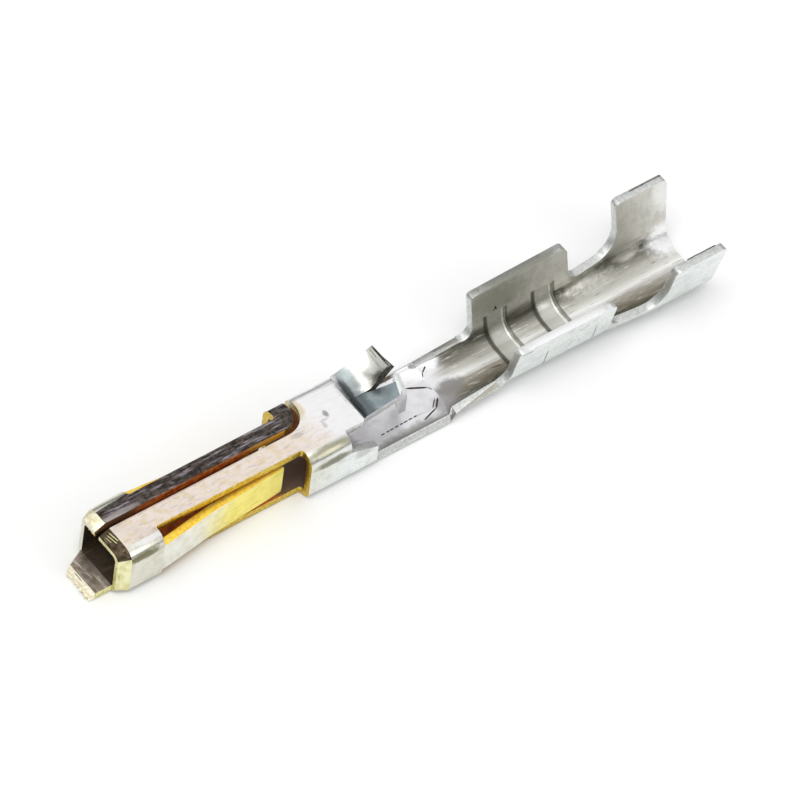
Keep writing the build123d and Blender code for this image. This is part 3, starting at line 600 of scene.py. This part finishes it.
# Press marks and scores: thin dark strips lying on the sheet; the one along the slit beside the lance is painted shade
# in the gap
marks = {
    "lift": 0.0025,     # mm above the sheet
    "fromAbove": [      # from, to (mm), width
        ((8.90, 0.36), (9.34, 0.12), 0.050),
        ((9.34, 0.12), (9.40, 0.02), 0.018),
        ((9.36, -0.24), (9.16, -0.46), 0.044),
        ((9.16, -0.46), (8.72, -0.60), 0.036),
        ((9.29, -0.22), (9.09, -0.42), 0.026),
        ((9.62, 0.60), (9.47, 0.50), 0.034),
        ((9.47, 0.50), (9.41, 0.40), 0.026),
        # painted shade in the slit between the lance and the wire stop
        ((7.30, 0.10), (7.95, 0.17), 0.008),
        ((10.9, -0.20), (11.15, -0.24), 0.020),
        ((-0.49, 0.10), (-0.50, -0.22), 0.016),
    ],
    "onLance": [        # the burr round its tip and near edge
        ((8.118, 0.825), (8.118, 0.16), 0.040),
        ((8.035, 0.80), (8.05, 0.52), 0.014),
        ((8.12, 0.168), (7.80, 0.166), 0.030),
    ],
    "onNose": [         # bright scratches beside the seam
        ((0.20, -0.10), (0.235, -0.42), 0.020),
        ((0.14, -0.12), (0.185, -0.46), 0.016),
        ((0.085, -0.14), (0.105, -0.34), 0.012),
    ],
    "dashes": ((8.66, -0.40), (7.62, -0.43), 0.030, 8),
    "nearWing": [       # the same on the near wing's outside, as (x, z)
        ((11.865, 0.98), (11.875, 0.30), 0.016),
        ((13.21, 1.00), (13.22, 0.36), 0.016),
        ((11.03, 1.42), (11.32, 1.42), 0.018),
        ((12.92, 1.30), (12.70, 1.17), 0.014),
    ],
    "farWing": [        # and on the far wing's inside
        ((11.55, 0.86), (11.62, 0.97), 0.030),
        ((11.60, 0.97), (11.63, 0.86), 0.018),
    ],
}
markLook = {    # oxide in the bottom of a score: nearly black, dull; also the painted shade line in the slit beside the lance
    "base": "#2b2924", "mottle": "#4a473f", "streak": "#6c6960",
    "mottlePerMm": 12.0, "mottleRange": (0.40, 0.65), "streakPerMm": 20.0, "streakRange": (0.60, 0.80),
    "grainPerMm": 50.0, "rough": (0.5, 0.65), "bump": 0.4, "depth": 0.004, "metallic": 0.6,
}
scoreAndShadeFinish = platedMetal("scoreOxideAndShade", markLook)
made = []


def layOn(strip, axis, sign):
    # projects a strip onto the sheet along one axis
    selectOnly(strip)
    wrap = strip.modifiers.new("lay", "SHRINKWRAP")
    wrap.target = terminal
    wrap.wrap_method = "PROJECT"
    wrap.use_project_x, wrap.use_project_y, wrap.use_project_z = axis == "x", axis == "y", axis == "z"
    wrap.use_negative_direction, wrap.use_positive_direction = sign < 0, sign > 0
    wrap.offset = marks["lift"] * mm
    bpy.ops.object.modifier_apply(modifier=wrap.name)
    made.append(strip)


for first, last, width in marks["fromAbove"]:
    layOn(ribbon((*first, 1.0), (*last, 1.0), width, 10), "z", -1)
for first, last, width in marks["onLance"]:
    layOn(ribbon((*first, 2.2), (*last, 2.2), width, 12), "z", -1)
first, last, width, count = marks["dashes"]
for index in range(count):
    share, reach = index / count, (index + 0.70 + 0.25 * (index % 3) / 2) / count
    a = [first[i] + (last[i] - first[i]) * share for i in (0, 1)]
    b = [first[i] + (last[i] - first[i]) * reach for i in (0, 1)]
    layOn(ribbon((*a, 1.0), (*b, 1.0), width, 4), "z", -1)
for (x0, z0), (x1, z1), width in marks["nearWing"]:
    strip = ribbon((x0, -2.0, z0), (x1, -2.0, z1), width, 14)
    for vertex in strip.data.vertices:     # laid flat to the wing before it is projected
        vertex.co.y = -2.0 * mm
    if abs(x1 - x0) > abs(z1 - z0):
        for index, vertex in enumerate(strip.data.vertices):
            vertex.co.z += (1 if index * 2 >= len(strip.data.vertices) else -1) * width / 2 * mm
    layOn(strip, "y", 1)
for (x0, z0), (x1, z1), width in marks["farWing"]:
    strip = ribbon((x0, 0.0, z0), (x1, 0.0, z1), width, 6)
    for index, vertex in enumerate(strip.data.vertices):
        vertex.co.y = 0.0
        vertex.co.x += (1 if index * 2 >= len(strip.data.vertices) else -1) * width / 2 * mm
    layOn(strip, "y", 1)


def joinStrips(name, finish):
    bpy.ops.object.select_all(action="DESELECT")
    for strip in made:
        strip.select_set(True)
    bpy.context.view_layer.objects.active = made[0]
    bpy.ops.object.join()
    joined = bpy.context.active_object
    joined.name = name
    joined.data.materials.append(finish)
    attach(joined, "root")
    made.clear()
    return joined


scoresAndSlitShade = joinStrips("pressMarksAndSlitShade", scoreAndShadeFinish)
for first, last, width in marks["onNose"]:
    layOn(ribbon((*first, 2.2), (*last, 2.2), width, 12), "z", -1)
scratches = joinStrips("noseScratches", platedMetal("scratchedFlash", looks["noseRim"]))
print("press marks laid:", len(scoresAndSlitShade.data.polygons) + len(scratches.data.polygons), "faces")

# Shearing burrs: a ragged fringe under the lip's front edge, and thin torn lines on the rear wings
burrs = {
    "lipBurr": {"from": (-0.545, 0.26, 0.035), "to": (-0.545, -0.63, 0.035), "away": (-1, 0, 0),
                "out": 0.050, "thick": 0.05, "parts": 60},
    "farWingBurr": {"from": (15.62, 1.232, 1.897), "to": (16.50, 1.232, 1.897), "away": (0, 1, 0.4),
                    "out": 0.010, "thick": 0.022, "parts": 50},
    "noseLipBurr": {"from": (0.035, 0.62, 1.16), "to": (0.035, 0.14, 1.16), "away": (0, 0, -1),
                    "out": 0.085, "thick": 0.035, "parts": 50},
    "nearWingBurr": {"from": (15.57, -1.062, 1.897), "to": (16.36, -1.062, 1.897), "away": (0, 1, 0.4),
                     "out": 0.010, "thick": 0.022, "parts": 50},
}
tear = {    # how the free side of a burr is torn: features to the millimetre, and shares of its reach or thickness
    "coarsePerMm": 21.0, "finePerMm": 47.0, "fineShare": 0.6, "mean": 0.55, "swing": 0.9, "rootSwing": 0.15,
    "wavePerMm": 33.0, "wave": 0.25, "startWidth": 0.02,
}
nubShape = {"at": (-0.570, -0.32, 0.070), "radius": 0.052, "perMm": 24.0, "swing": 0.9, "flat": 0.8}


def fringe(name, burr, finish):
    # a strip along an edge whose free side is torn, given body by a solidify
    strip = ribbon(burr["from"], burr["to"], tear["startWidth"], burr["parts"], taper=0.6)
    strip.name = name
    reach = Vector(burr["away"]) * burr["out"] * mm
    for index, vertex in enumerate(strip.data.vertices):
        place = vertex.co / mm
        torn = noise.noise(place * tear["coarsePerMm"]) + tear["fineShare"] * noise.noise(place * tear["finePerMm"])
        free = index * 2 >= len(strip.data.vertices)
        vertex.co += reach * (tear["mean"] + tear["swing"] * torn if free else tear["rootSwing"] * torn)
        vertex.co.z += tear["wave"] * burr["thick"] * mm * noise.noise(place * tear["wavePerMm"])
    selectOnly(strip)
    body = strip.modifiers.new("body", "SOLIDIFY")
    body.thickness = burr["thick"] * mm
    body.offset = 0
    bpy.ops.object.modifier_apply(modifier=body.name)
    bpy.ops.object.shade_smooth_by_angle(angle=math.radians(40))
    strip.data.materials.append(finish)
    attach(strip, "root")


tornCream = platedMetal("tornCream", looks["lipFracture"])
burrFinishes = {"lipBurr": tornCream, "farWingBurr": scoreAndShadeFinish, "nearWingBurr": scoreAndShadeFinish,
                "noseLipBurr": platedMetal("tornGold", looks["cutEdge"])}
for name, burr in burrs.items():
    fringe(name, burr, burrFinishes[name])
bpy.ops.object.select_all(action="DESELECT")
bpy.ops.mesh.primitive_ico_sphere_add(subdivisions=3, radius=nubShape["radius"] * mm)
nub = bpy.context.active_object
nub.name = "lipNub"
for vertex in nub.data.vertices:
    place = vertex.co / mm
    vertex.co *= 1 + nubShape["swing"] * noise.noise(place * nubShape["perMm"])
    vertex.co.z *= nubShape["flat"]
    vertex.co += Vector(nubShape["at"]) * mm
selectOnly(nub)
bpy.ops.object.shade_smooth_by_angle(angle=math.radians(35))
nub.data.materials.append(tornCream)
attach(nub, "root")
print("burrs made")

# Floor
floorLook = {"size": 1.6, "colour": "#f4f4f3"}
bpy.ops.object.select_all(action="DESELECT")
bpy.ops.mesh.primitive_plane_add(size=floorLook["size"], location=(0, 0, -0.00002))
floor = bpy.context.active_object
floor.name = "floor"
floorMaterial, floorTree = newMaterial("paintedBoard")
floorShader = addNode(floorTree, "ShaderNodeBsdfPrincipled",
                      {"Base Color": hexColour(floorLook["colour"]), "Roughness": 0.9, "Specular IOR Level": 0.1})
addNode(floorTree, "ShaderNodeOutputMaterial", links={"Surface": floorShader.outputs["BSDF"]})
floor.data.materials.append(floorMaterial)

# Light: a bright tent overhead that darkens towards the horizon, and two soft panels
world = bpy.data.worlds.new("lightTent")
bpy.context.scene.world = world
world.use_nodes = True
world.node_tree.nodes.clear()
sky = addNode(world.node_tree, "ShaderNodeTexCoord")
height = addNode(world.node_tree, "ShaderNodeSeparateXYZ",
                 links={"Vector": sky.outputs["Generated"]}).outputs["Z"]
ramp = addNode(world.node_tree, "ShaderNodeValToRGB", links={"Fac": height})
stops = [(0.0, 0.08), (0.16, 0.10), (0.42, 0.62), (0.75, 0.98)]
ramp.color_ramp.elements[0].position, ramp.color_ramp.elements[1].position = stops[0][0], stops[1][0]
for position, level in stops[2:]:
    ramp.color_ramp.elements.new(position)
for element, (position, level) in zip(ramp.color_ramp.elements, stops):
    element.position = position
    element.color = (level, level, level * 1.01, 1)
tent = addNode(world.node_tree, "ShaderNodeBackground", {"Strength": 1.0}, {"Color": ramp.outputs["Color"]})
addNode(world.node_tree, "ShaderNodeOutputWorld", links={"Surface": tent.outputs["Background"]})

panels = {
    "frontPanel": {"at": (-0.12, -0.06, 0.40), "size": 0.24, "power": 0.62},
    "lowPanel": {"at": (0.175, -0.313, 0.187), "size": 0.20, "power": 0.23},
}
aim = Vector(picture["aim"]) * mm
for name, panel in panels.items():
    bpy.ops.object.light_add(type="AREA", location=panel["at"])
    light = bpy.context.active_object
    light.name = name
    light.data.shape = "SQUARE"
    light.data.size = panel["size"]
    light.data.energy = panel["power"]
    light.rotation_euler = (aim - light.location).to_track_quat("-Z", "Y").to_euler()

# Camera
right, up = Vector(picture["right"]).normalized(), Vector(picture["up"])
back = right.cross(up).normalized()
up = back.cross(right)
distance = picture["span"] * mm * picture["lens"] / picture["sensor"]
bpy.ops.object.camera_add()
camera = bpy.context.active_object
camera.matrix_world = Matrix.Translation(aim + back * distance) @ Matrix((right, up, back)).transposed().to_4x4()
camera.data.lens = picture["lens"]
camera.data.sensor_width = picture["sensor"]
camera.data.clip_start = distance * 0.5
camera.data.clip_end = distance * 3
bpy.context.scene.camera = camera
bpy.context.scene.view_settings.view_transform = "Standard"
bpy.context.scene.view_settings.look = "None"
bpy.context.scene.view_settings.exposure = 0.0
